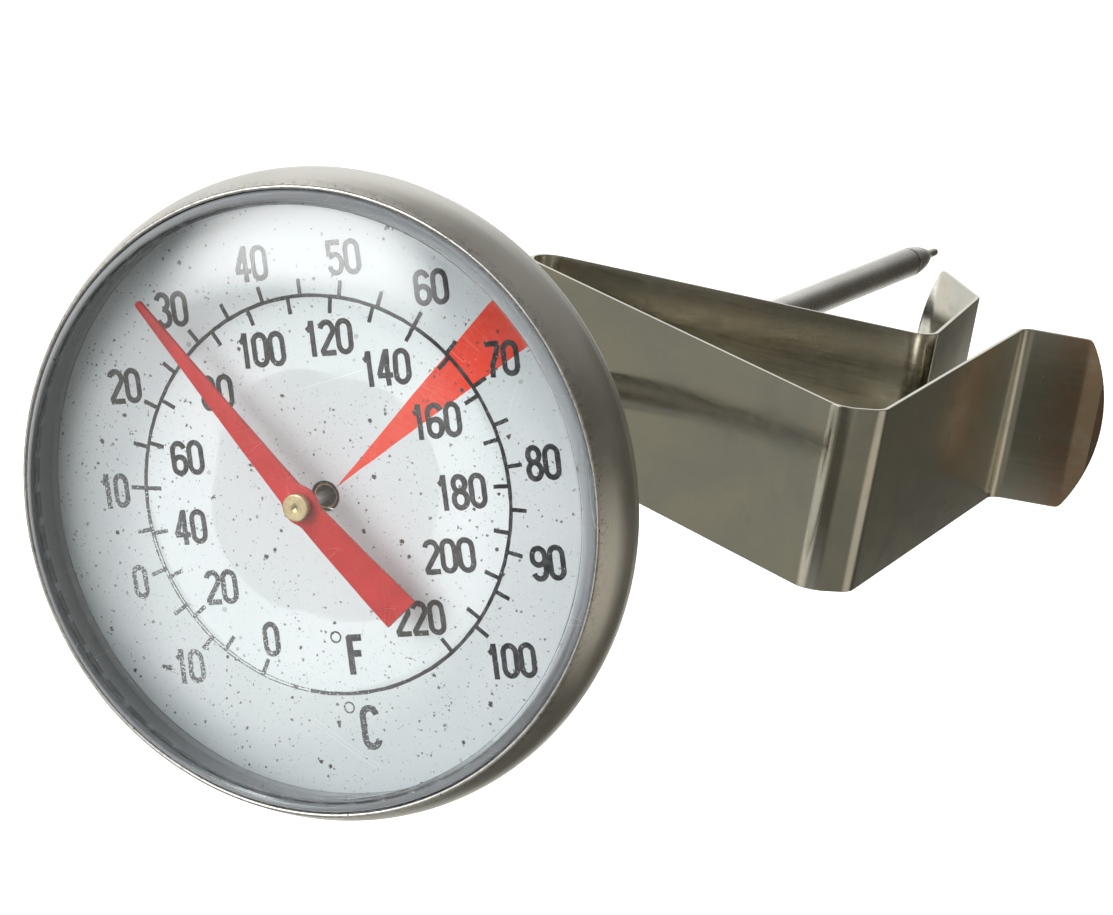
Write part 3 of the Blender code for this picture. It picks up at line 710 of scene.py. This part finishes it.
def polar(radius, degrees):
    a = math.radians(degrees)
    return np.array((radius * math.cos(a), radius * math.sin(a)))


def set_text(text, centre, stroke=STROKE):
    """Ribbon quads for upright figures centred on a point of the dial."""
    up = polar(1.0, DIAL_UP)
    right = polar(1.0, DIAL_UP - 90.0)
    steps = [PITCH * NARROW.get(c, 1.0) for c in text]
    x = -sum(steps) / 2
    quads = []
    for char, step in zip(text, steps):
        x += step / 2
        for line in glyph_strokes(char):
            closed = len(line) > 4 and math.dist(line[0], line[-1]) < 1e-3
            path = dense([(px * GLYPH_WIDTH, py) for px, py in line], 0.35)
            path = path[:-1] if closed else path
            moved = [centre + right * (x + px) + up * py for px, py in path]
            quads += ribbon(moved, stroke, closed)
        x += step / 2
    return quads


# where each printed mark is centred: distance from the spindle in mm, direction in degrees
CELSIUS = {-10: (26.26, -119.4), 0: (24.73, -142.2), 10: (25.11, -165.7), 20: (25.72, 168.0),
           30: (25.84, 144.9), 40: (25.48, 120.4), 50: (25.42, 95.9), 60: (25.87, 72.8),
           70: (25.67, 49.3), 80: (25.37, 23.4), 90: (25.84, -0.2), 100: (26.42, -25.4)}
FAHRENHEIT = {0: (17.22, -100.9), 20: (16.42, -127.7), 40: (16.61, -152.8), 60: (16.46, 181.1),
              80: (16.18, 152.1), 100: (16.74, 126.8), 120: (16.89, 99.1), 140: (15.86, 74.2),
              160: (15.68, 45.9), 180: (15.79, 17.2), 200: (15.22, -9.0), 220: (16.33, -37.0)}
# letter, its place, and the place of its degree ring
UNITS = [("F", (17.15, -67.3), (15.1, -74.6)), ("C", (24.95, -67.0), (22.7, -72.2))]


def scale_angle(celsius):
    """Direction of a temperature on the scale, degrees from +X."""
    return 217.4 - 2.421 * celsius


def make_print(black, red):
    # the ring of the scale is thin and doubled where the ink has worn, at lower left
    quads = []
    turn = 2.0
    solid = [polar(RING_R, -84.0 + turn * i) for i in range(int((360 - 72) / turn) + 1)]
    quads += ribbon(solid, 0.40, False, 0.03)
    for offset in (-0.16, 0.15):
        worn = [polar(RING_R + offset, -156.5 + turn * i) for i in range(int(73.5 / turn) + 1)]
        quads += ribbon(worn, 0.115, False, 0.03)
    for celsius in range(-10, 101, 5):
        a = scale_angle(celsius)
        quads += ribbon(dense([polar(RING_R - 0.1, a), polar(TICK_OUT, a)], 0.3), TICK_WIDTH)
    for fahr in range(0, 221, 10):
        a = scale_angle((fahr - 32) / 1.8)
        quads += ribbon(dense([polar(RING_R + 0.1, a), polar(TICK_IN, a)], 0.3), TICK_WIDTH)
    flat_solid("scale_marks", quads, INK_LOW, INK_HIGH, black, "head")
    for name, values in (("numbers_celsius", CELSIUS), ("numbers_fahrenheit", FAHRENHEIT)):
        quads = []
        for value, spot in values.items():
            quads += set_text(str(value), polar(*spot))
        flat_solid(name, quads, INK_LOW, INK_HIGH, black, "head")
    quads = []
    for char, letter, ring in UNITS:
        quads += set_text(char, polar(*letter), stroke=UNIT_STROKE)
        centre = polar(*ring)
        loop = [centre + np.array(p) for p in bowl(0, 0, 0.56, 0.56, 0, 360, 20)[:-1]]
        quads += ribbon(loop, 0.17, True, 0.015)
    flat_solid("unit_marks", quads, INK_LOW, INK_HIGH, black, "head")
    # red wedge on the scale, drawn as one outline
    apex = polar(1.78, 49.4)
    outer = [polar(28.95, 48.0 + 12.0 * i / 16) for i in range(17)]
    side_a = dense([tuple(apex), tuple(outer[0])], 1.2)
    side_b = dense([tuple(outer[-1]), tuple(apex)], 1.2)
    rim = side_a[:-1] + outer + side_b[1:-1]
    rim = [np.array(p) + rng.uniform(-0.02, 0.02, 2) for p in rim]
    flat_solid("serving_zone", [rim], INK_LOW, 0.012, red, "head")


# ---- pointer ----------------------------------------------------------------
POINTER_ANGLE = 145.8     # direction of the tip, degrees from +X
TIP, TAIL = 27.9, 15.4    # length ahead of the hub and behind it
BOSS_R = 2.05


def half_width(t):
    """Half the strip's width at t mm ahead of the hub, eased into the round boss."""
    bar = 0.40 + (TIP - t) * (2.14 - 0.40) / (TIP + TAIL)
    if abs(t) < BOSS_R:
        boss = math.sqrt(BOSS_R ** 2 - t ** 2)
        bar = math.log(math.exp(6 * bar) + math.exp(6 * boss)) / 6
        bar = min(bar, 2.10)
    return bar


def blade_height(t):
    span = TIP if t > 0 else TAIL
    x = min(abs(t) / span, 1.0)
    return 5.9 - 1.5 * x ** 1.3


def make_pointer(mat):
    """Stamped strip: a little crowned, edges rolled over by the press, round boss at the hub."""
    stations = list(np.arange(-TAIL + 0.06, TIP - 0.3, 0.42))
    stations = [-TAIL, -TAIL + 0.03] + stations + [TIP - 0.3, TIP - 0.18, TIP - 0.09, TIP - 0.03, TIP]
    stations = sorted(set(list(stations) + [-BOSS_R, -1.7, -1.3, 1.3, 1.7, BOSS_R]))
    across = [-1.0, -0.985, -0.93, -0.8, -0.5, 0.0, 0.5, 0.8, 0.93, 0.985, 1.0]
    thick = 0.4
    verts, rows = [], []
    for t in stations:
        half = half_width(t)
        ahead = TIP - t
        if ahead < 0.4:
            half = min(half, math.sqrt(max(0.4 ** 2 - (0.4 - ahead) ** 2, 0.0)) * 0.96 + 0.03)
        back = t + TAIL
        edge = 0.05 if back < 0.02 else 0.0
        row_top, row_low = [], []
        for s in across:
            roll = 0.07 * max(0.0, (abs(s) - 0.8) / 0.2) ** 2 + edge
            z = blade_height(t) + 0.05 * (1 - s * s) - roll
            lean = 0.02 * math.sin(t * 0.9) * s
            row_top.append((t, s * half, min(z + lean, 5.93)))
            row_low.append((t, s * half, blade_height(t) - thick + lean))
        rows.append((row_top, row_low))
    index = []
    for row_top, row_low in rows:
        loop = row_top + list(reversed(row_low))
        start = len(verts)
        verts += loop
        index.append(list(range(start, start + len(loop))))
    faces = [tuple(index[0]), tuple(reversed(index[-1]))]
    n = len(index[0])
    for low, high in zip(index, index[1:]):
        for i in range(n):
            j = (i + 1) % n
            faces.append((low[i], high[i], high[j], low[j]))
    a = math.radians(POINTER_ANGLE)
    out = [(x * math.cos(a) - y * math.sin(a), x * math.sin(a) + y * math.cos(a), z - FACE)
           for x, y, z in verts]
    return place("pointer_blade", mesh_of("pointer_blade", out, faces, 42.0), mat, "pointer",
                 ["pointer"])


def make_cap(mat):
    top = 7.1
    outline = [(0.0, top - 0.10), (0.16, top - 0.09), (0.24, top - 0.02), (0.5, top),
               (1.28, top - 0.01)]
    outline += arc((1.33, top - 0.14), 0.13, 80, 0, 5)
    outline += [(1.46, 6.35), (1.42, 6.2), (0.9, 6.2), (0.9, 6.6), (0.0, 6.6)]
    return turned("hub_cap", outline, mat, "pointer", ["pointer_cap"], 64, 40.0)


# ---- stem and nut -----------------------------------------------------------
def make_stem(mat):
    tube = eased([(1.6, -1.6), (2.0, -1.6), (2.0, -178.2), (1.6, -178.2)], 0.07, 2)
    turned("stem_sleeve", tube, mat, "stem", ["stem_tube"], 64)
    tip = [(0.0, -173.9), (1.3, -173.9), (1.3, -178.5), (1.97, -178.5), (2.0, -178.55)]
    tip += spline([(1.99, -179.2), (1.92, -180.4), (1.65, -182.6), (1.2, -184.7), (0.78, -186.2),
                   (0.62, -187.2), (0.55, -189.2), (0.38, -189.8), (0.12, -189.98)], 5)
    tip += [(0.0, -190.0)]
    turned("stem_point", tip, mat, "stem", ["stem_tip"], 64)


def make_nut(mat):
    """Hexagon with the corners turned off at both faces."""
    flats = 7.0
    corner = flats / math.cos(math.radians(30))
    facets = 120
    # (height, largest radius) down the outside and back up the bore
    levels = [(-9.3, 7.35), (-9.42, 7.55), (-9.62, 7.8), (-9.95, 8.02), (-10.4, 8.09),
              (-14.7, 8.09), (-15.15, 8.02), (-15.48, 7.8), (-15.68, 7.55), (-15.8, 7.35),
              (-15.8, 2.6), (-15.5, 2.3), (-9.6, 2.3), (-9.3, 2.6)]
    verts, loops = [], []
    for height, limit in levels:
        loop = []
        for i in range(facets):
            a = 2 * math.pi * i / facets
            wedge = (a + math.pi / 6) % (math.pi / 3) - math.pi / 6
            flat = flats / math.cos(wedge)
            soft = corner - 0.12 * max(0.0, 1 - (math.pi / 6 - abs(wedge)) / 0.10)
            r = min(flat, limit, soft)
            verts.append((r * math.cos(a), r * math.sin(a), height - FACE))
            loop.append(len(verts) - 1)
        loops.append(loop)
    faces = []
    for k, low in enumerate(loops):
        high = loops[(k + 1) % len(loops)]
        for i in range(facets):
            j = (i + 1) % facets
            faces.append((low[i], low[j], high[j], high[i]))
    place("nut", mesh_of("nut", verts, faces, 24.0), mat, "stem", ["hex_nut"])


# ---- clip -------------------------------------------------------------------
# points are (depth below the dial face, distance from the stem axis towards +X), mm
FRONT_HOLE, FRONT_SLOPE = 72.1, -0.543
BACK_HOLE, BACK_SLOPE = 88.7, 0.2375
LEG_TOP, LEG_FOOT = (56.0, 40.3), (113.2, 37.3)
KNUCKLE = (122.9, 27.9)
TAB_DIR, TAB_LENGTH = (0.39, 0.92), 11.75
FLARE_DIR, FLARE_LENGTH = (0.76, -0.65), 16.3
STRIP, HALF = 0.5, 10.75  # thickness of the strip, and half its width
BENDS = [2.2, 3.0, 2.8, 3.5, 3.0, 1.8]    # radii from the tab to the hook's knuckle
SEAM_OUT = -11.0          # where the fold piece meets the two arms


def filleted(points, radii, steps=14):
    """Centre line of (depth, out) through the corners, each rounded by an arc."""
    path = [np.array(points[0], float)]
    for k in range(1, len(points) - 1):
        before, corner, after = (np.array(points[k + d], float) for d in (-1, 0, 1))
        u = (before - corner) / np.linalg.norm(before - corner)
        w = (after - corner) / np.linalg.norm(after - corner)
        half = 0.5 * math.acos(float(np.clip(u @ w, -1, 1)))
        reach = radii[k - 1] / math.tan(half)
        bisector = (u + w) / np.linalg.norm(u + w)
        centre = corner + bisector * radii[k - 1] / math.sin(half)
        start = corner + u * reach - centre
        stop = corner + w * reach - centre
        turn = math.atan2(start[0] * stop[1] - start[1] * stop[0], float(start @ stop))
        for i in range(steps + 1):
            a = turn * i / steps
            path.append(centre + np.array((start[0] * math.cos(a) - start[1] * math.sin(a),
                                           start[0] * math.sin(a) + start[1] * math.cos(a))))
    path.append(np.array(points[-1], float))
    return path


def end_stations(path, bulge):
    """(point, half width) along the path, its last straight ending in a shallow rounded nose."""
    last = path[-1]
    back = (path[-2] - last) / np.linalg.norm(path[-2] - last)
    radius = (HALF ** 2 + bulge ** 2) / (2 * bulge)
    stations = [(p, HALF) for p in path[:-1]]
    count = 30
    for i in range(count):
        reach = bulge * 1.5 * (1 - i / (count - 1)) ** 1.6
        e = min(reach, radius)
        width = math.sqrt(max(radius ** 2 - (radius - e) ** 2, 0.0))
        width = -math.log(math.exp(-4 * (width - HALF)) + 1.0) / 4 + HALF
        stations.append((last + back * reach, max(width, 0.35)))
    return stations


def strip(name, stations, mat, body, nodes, cutter=None):
    """Rolled strip with slightly rounded cut edges."""
    c = 0.11
    section = []
    for sy, sn, a0 in ((-1, -1, 180), (1, -1, 270), (1, 1, 0), (-1, 1, 90)):
        for step in range(4):
            a = math.radians(a0 + 30 * step)
            section.append((sy, sn, c * math.cos(a), c * math.sin(a)))
    verts, faces = [], []
    count = len(stations)
    for k, (point, half) in enumerate(stations):
        ahead = stations[min(k + 1, count - 1)][0]
        behind = stations[max(k - 1, 0)][0]
        along = (ahead - behind) / np.linalg.norm(ahead - behind)
        normal = np.array((-along[1], along[0]))
        for sy, sn, dy, dn in section:
            y = sy * (half - c) + dy
            depth, out = point + normal * (sn * (STRIP / 2 - c) + dn)
            verts.append((out, y, -(FACE + depth)))
    n = len(section)
    for k in range(count - 1):
        for i in range(n):
            j = (i + 1) % n
            faces.append((n * k + i, n * k + n + i, n * k + n + j, n * k + j))
    faces.append(tuple(range(n)))
    faces.append(tuple(reversed(range(n * (count - 1), n * count))))
    mesh = mesh_of(name, verts, faces, 40.0)
    if cutter is not None:
        mesh = cut_through(name, mesh, cutter)
    return place(name, mesh, mat, body, nodes)


def slot_tool(depth, slope, length, width):
    """Oblong prism square to an arm, centred on the stem axis."""
    facets = 16
    straight = (length - width) / 2
    outline = []
    for side in (1, -1):
        for i in range(facets + 1):
            a = math.radians(-90 + 180 * i / facets)
            outline.append((side * (straight + width / 2 * math.cos(a)),
                            side * width / 2 * math.sin(a)))
    along = Vector((1.0, 0.0, -slope)).normalized()
    across = Vector((0.0, 1.0, 0.0))
    normal = along.cross(across)
    centre = Vector((0.0, 0.0, -(FACE + depth)))
    verts = [centre + along * a + across * b + normal * lift
             for lift in (-2.0, 2.0) for a, b in outline]
    n = len(outline)
    faces = [tuple(range(n)), tuple(range(2 * n - 1, n - 1, -1))]
    faces += [(i, n + i, n + (i + 1) % n, (i + 1) % n) for i in range(n)]
    return mesh_of("tool", [tuple(v) for v in verts], faces)


def cut_through(name, mesh, tool_mesh):
    """The mesh with the tool's shape cut away."""
    body = bpy.data.objects.new(name + "_blank", mesh)
    tool = bpy.data.objects.new(name + "_tool", tool_mesh)
    for obj in (body, tool):
        bpy.context.scene.collection.objects.link(obj)
    mod = body.modifiers.new("hole", "BOOLEAN")
    mod.operation = "DIFFERENCE"
    mod.solver = "EXACT"
    mod.object = tool
    bpy.context.view_layer.update()
    depsgraph = bpy.context.evaluated_depsgraph_get()
    done = bpy.data.meshes.new_from_object(body.evaluated_get(depsgraph))
    done.name = name
    for obj in (body, tool):
        bpy.data.objects.remove(obj, do_unlink=True)
    done.shade_smooth()
    done.set_sharp_from_angle(angle=math.radians(40.0))
    return done


def make_clip(mat):
    """One bent strip in three pieces: the front arm, the fold between the seams, and the back arm
    with the hook.
    """
    apex_out = (FRONT_HOLE - BACK_HOLE) / (BACK_SLOPE - FRONT_SLOPE)
    apex = (FRONT_HOLE + FRONT_SLOPE * apex_out, apex_out)
    shoulder = (FRONT_HOLE + FRONT_SLOPE * 36.6, 36.6)
    tab = tuple(LEG_FOOT[i] + TAB_DIR[i] * TAB_LENGTH for i in (0, 1))
    hook_top = (BACK_HOLE + BACK_SLOPE * 31.5, 31.5)
    flare = tuple(KNUCKLE[i] + FLARE_DIR[i] * FLARE_LENGTH for i in (0, 1))
    corners = [tab, LEG_FOOT, LEG_TOP, shoulder, apex, hook_top, KNUCKLE, flare]
    path = filleted(corners, BENDS)
    middle = int(np.argmin([p[1] for p in path]))
    front_seam = np.array((FRONT_HOLE + FRONT_SLOPE * SEAM_OUT, SEAM_OUT))
    back_seam = np.array((BACK_HOLE + BACK_SLOPE * SEAM_OUT, SEAM_OUT))
    front = [p for p in path[:middle] if p[1] > SEAM_OUT]
    back = [p for p in path[middle:] if p[1] > SEAM_OUT]
    fold = [p for p in path if p[1] < SEAM_OUT]
    front_mesh = end_stations([front_seam] + list(reversed(front)), 3.2)
    back_mesh = end_stations([back_seam] + back, 3.8)
    strip("clip_front", front_mesh, mat, "clip", ["clip_front_arm"],
          slot_tool(FRONT_HOLE, FRONT_SLOPE, 5.6, 4.7))
    strip("clip_hook", back_mesh, mat, "clip_back", ["clip_back_arm"],
          slot_tool(BACK_HOLE, BACK_SLOPE, 7.2, 4.7))
    bend = strip("clip_fold", [(p, HALF) for p in [front_seam] + fold + [back_seam]], mat, None,
                 ())
    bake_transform(bend)


# ---- studio -----------------------------------------------------------------
def make_floor():
    bm = bmesh.new()
    bmesh.ops.create_grid(bm, x_segments=24, y_segments=24, size=4.0)
    mesh = bpy.data.meshes.new("floor")
    bm.to_mesh(mesh)
    bm.free()
    floor = bpy.data.objects.new("floor", mesh)
    bpy.context.scene.collection.objects.link(floor)
    floor.location = (0.0, 0.0, CAD_BOX[0].z - 0.0004)
    f = Finish("floor_white", (0.90, 0.90, 0.90), 0.9, 0.0, Emission_Strength=0.80,
               Specular_IOR_Level=0.0)
    f.set("Emission Color", (1.0, 1.0, 1.0, 1.0))
    paper = f.ramp(f.noise(0.02, 2.0, 0.5), 0.3, 0.7, 0.0, 1.0)
    f.drive("Base Color", f.mix(paper, (0.895, 0.895, 0.90), (0.905, 0.905, 0.905)))
    mesh.materials.append(f.mat)
    floor.visible_glossy = False


# soft lights on the sky: direction, colour, strength, and the angles in degrees from the
# direction within which each is full and beyond which it is gone
LIGHTS = [
    ((-0.48, 0.33, 0.81), (1.0, 1.0, 1.0), 6.9, 7.0, 25.0),
    ((-0.50, -0.26, 0.82), (1.0, 0.97, 0.92), 0.90, 8.0, 28.0),
    ((-0.94, -0.25, 0.22), (0.98, 1.0, 0.86), 0.24, 15.0, 45.0),
    ((0.90, -0.24, -0.36), (1.0, 0.92, 0.78), 0.58, 10.0, 28.0),
    ((0.88, -0.25, 0.33), (1.0, 0.96, 0.82), 0.14, 14.0, 34.0),
    ((0.62, 0.52, 0.58), (1.0, 0.97, 0.90), 0.30, 12.0, 40.0),
    ((-0.70, 0.25, -0.67), (1.0, 1.0, 0.98), 0.95, 22.0, 52.0),
    ((-0.38, -0.42, -0.82), (1.0, 0.99, 0.90), 0.95, 14.0, 32.0),
    ((-0.05, 0.86, -0.50), (1.0, 1.0, 0.97), 0.22, 28.0, 58.0),
    ((0.10, -0.90, 0.45), (0.96, 0.98, 1.0), 0.42, 15.0, 45.0),
]


AMBIENT = (0.100, 0.094, 0.076)


def make_world():
    world = bpy.data.worlds.new("studio")
    bpy.context.scene.world = world
    world.use_nodes = True
    tree = world.node_tree
    tree.nodes.clear()
    new, link = tree.nodes.new, tree.links.new
    coord = new("ShaderNodeTexCoord")
    total = None
    for direction, colour, strength, full, gone in LIGHTS:
        dot = new("ShaderNodeVectorMath")
        dot.operation = "DOT_PRODUCT"
        link(coord.outputs["Generated"], dot.inputs[0])
        dot.inputs[1].default_value = Vector(direction).normalized()
        reach = new("ShaderNodeMapRange")
        reach.interpolation_type = "SMOOTHSTEP"
        reach.inputs["From Min"].default_value = math.cos(math.radians(gone))
        reach.inputs["From Max"].default_value = math.cos(math.radians(full))
        link(dot.outputs["Value"], reach.inputs["Value"])
        lamp = new("ShaderNodeVectorMath")
        lamp.operation = "SCALE"
        lamp.inputs[0].default_value = tuple(c * strength for c in colour)
        link(reach.outputs["Result"], lamp.inputs["Scale"])
        if total is None:
            total = lamp.outputs[0]
            continue
        add = new("ShaderNodeVectorMath")
        add.operation = "ADD"
        link(total, add.inputs[0])
        link(lamp.outputs[0], add.inputs[1])
        total = add.outputs[0]
    base = new("ShaderNodeVectorMath")
    base.operation = "ADD"
    base.inputs[1].default_value = AMBIENT
    link(total, base.inputs[0])
    studio = new("ShaderNodeBackground")
    link(base.outputs[0], studio.inputs["Color"])
    plain_white = new("ShaderNodeBackground")
    plain_white.inputs["Color"].default_value = (1.0, 1.0, 1.0, 1.0)
    path = new("ShaderNodeLightPath")
    both = new("ShaderNodeMixShader")
    out = new("ShaderNodeOutputWorld")
    link(path.outputs["Is Camera Ray"], both.inputs[0])
    link(studio.outputs[0], both.inputs[1])
    link(plain_white.outputs[0], both.inputs[2])
    link(both.outputs[0], out.inputs["Surface"])
    bpy.context.scene.view_settings.view_transform = "Standard"


# ---- build ------------------------------------------------------------------
make_camera()
make_world()

CASE = satin_case()
CLIP = spring_steel()
STEM = stem_steel()
BRASS = turned_brass("cap_brass", 14.0, (0.50, 0.40, 0.21), (0.62, 0.52, 0.33))
BRASS_PLAIN = turned_brass("bush_brass", 5.0, (0.58, 0.45, 0.22), (0.68, 0.55, 0.32))
# the bush seen through the dial hole gets a near-black brass: painted shade for the dark hole
BRASS_SHADE = turned_brass("brass_painted_shade", 5.0, (0.16, 0.11, 0.06), (0.44, 0.33, 0.16))
WINDOW = clear_window()
WHITE = dial_white()
BLACK = print_ink("print_black", (0.018, 0.018, 0.022), 0.68, 0.06, 1.0, False)[0].mat
ZONE = wedge_red()
RED = pointer_red()

make_case(CASE)
make_window(WINDOW)
make_dial(WHITE)
make_print(BLACK, ZONE)
make_pointer(RED)
make_cap(BRASS)
make_stem(STEM)
make_nut(stem_steel("nut_steel", 0.22, 0.38))
make_clip(CLIP)

RUBBER = plain("rubber", (0.035, 0.035, 0.036), (0.07, 0.068, 0.066), 0.7, 0.0, 2.0, 0.3)
FIBRE = plain("fibre_washer", (0.20, 0.085, 0.045), (0.28, 0.13, 0.07), 0.8, 0.0, 3.0, 0.4)
BIMETAL = plain("bimetal", (0.42, 0.36, 0.28), (0.50, 0.44, 0.34), 0.38, 1.0, 4.0, 0.2)
INNER_STEEL = stem_steel("inner_steel", 0.28, 0.42)
CARRIED = {
    "lens_gasket": RUBBER, "nut_washer": FIBRE, "bimetal_coil": BIMETAL,
    "dial_support_ring": INNER_STEEL, "friction_washer": INNER_STEEL, "spindle": INNER_STEEL,
    "case_neck": BRASS_PLAIN, "stem_collar": BRASS_PLAIN, "upper_guide_bush": BRASS_SHADE,
    "middle_guide_bush": BRASS_PLAIN, "lower_guide_bush": BRASS_PLAIN, "coil_anchor": BRASS_PLAIN,
    "coil_collar": BRASS_PLAIN,
}
for node_name, finish in CARRIED.items():
    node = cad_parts[node_name]
    for place_slot in node.material_slots:
        place_slot.material = finish

make_floor()
